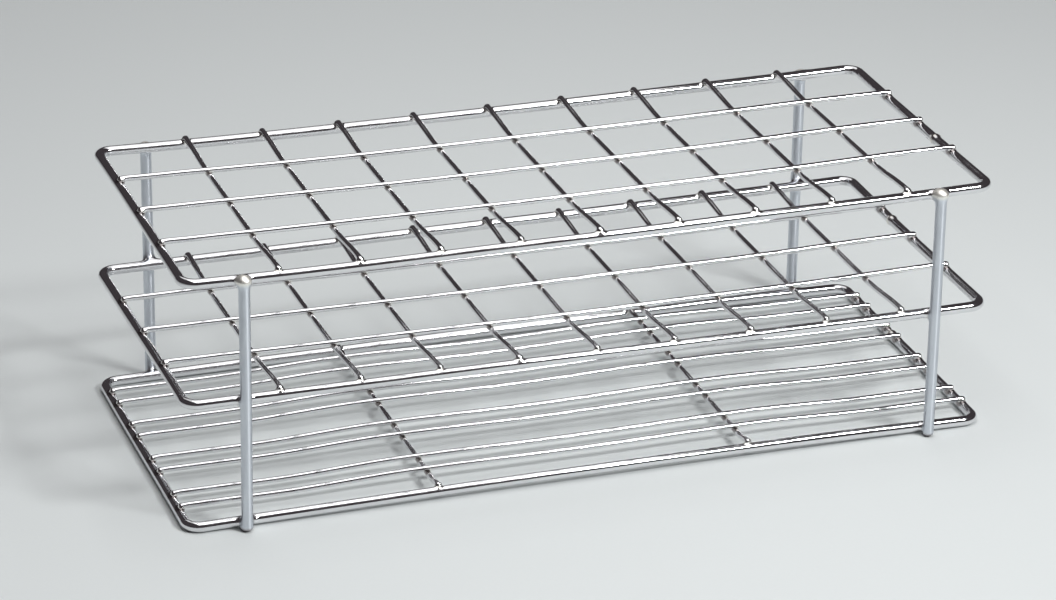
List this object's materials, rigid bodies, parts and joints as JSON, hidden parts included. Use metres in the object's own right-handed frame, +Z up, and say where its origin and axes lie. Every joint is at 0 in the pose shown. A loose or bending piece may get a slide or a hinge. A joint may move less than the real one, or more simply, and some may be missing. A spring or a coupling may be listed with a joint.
{
  "type": "test tube rack",
  "caption": "Open welded wire rack on straight legs: square-mesh shelves hold test tubes upright over a base of paired wires.",
  "frame": {"origin": "on the table, under the middle of the rack's outline", "axes": "+X to the right along the rows of tubes, +Y from front to back, +Z up"},
  "size_m": [0.26, 0.1182, 0.0846],
  "materials": {
    "frame_wire": "bright electropolished stainless steel wire, 3.2 mm",
    "grid_wire": "bright electropolished stainless steel wire, 1.8 mm",
    "leg_wire": "bright electropolished stainless steel wire, 3.5 mm"
  },
  "bodies": {
    "root": {"top_frame": "frame_wire", "top_cross_wire_1": "grid_wire", "top_cross_wire_2": "grid_wire", "top_cross_wire_3": "grid_wire", "top_cross_wire_4": "grid_wire", "top_cross_wire_5": "grid_wire", "top_cross_wire_6": "grid_wire", "top_cross_wire_7": "grid_wire", "top_cross_wire_8": "grid_wire", "top_cross_wire_9": "grid_wire", "top_long_wire_1": "grid_wire", "top_long_wire_2": "grid_wire", "top_long_wire_3": "grid_wire", "middle_frame": "frame_wire", "middle_cross_wire_1": "grid_wire", "middle_cross_wire_2": "grid_wire", "middle_cross_wire_3": "grid_wire", "middle_cross_wire_4": "grid_wire", "middle_cross_wire_5": "grid_wire", "middle_cross_wire_6": "grid_wire", "middle_cross_wire_7": "grid_wire", "middle_cross_wire_8": "grid_wire", "middle_cross_wire_9": "grid_wire", "middle_long_wire_1": "grid_wire", "middle_long_wire_2": "grid_wire", "middle_long_wire_3": "grid_wire", "base_frame": "frame_wire", "base_cross_wire_left": "grid_wire", "base_cross_wire_right": "grid_wire", "base_row_1_back_wire": "grid_wire", "base_row_1_front_wire": "grid_wire", "base_row_2_back_wire": "grid_wire", "base_row_2_front_wire": "grid_wire", "base_row_3_back_wire": "grid_wire", "base_row_3_front_wire": "grid_wire", "base_row_4_back_wire": "grid_wire", "base_row_4_front_wire": "grid_wire", "leg_front_left": "leg_wire", "leg_front_right": "leg_wire", "leg_rear_left": "leg_wire", "leg_rear_right": "leg_wire"}
  },
  "joints": []
}
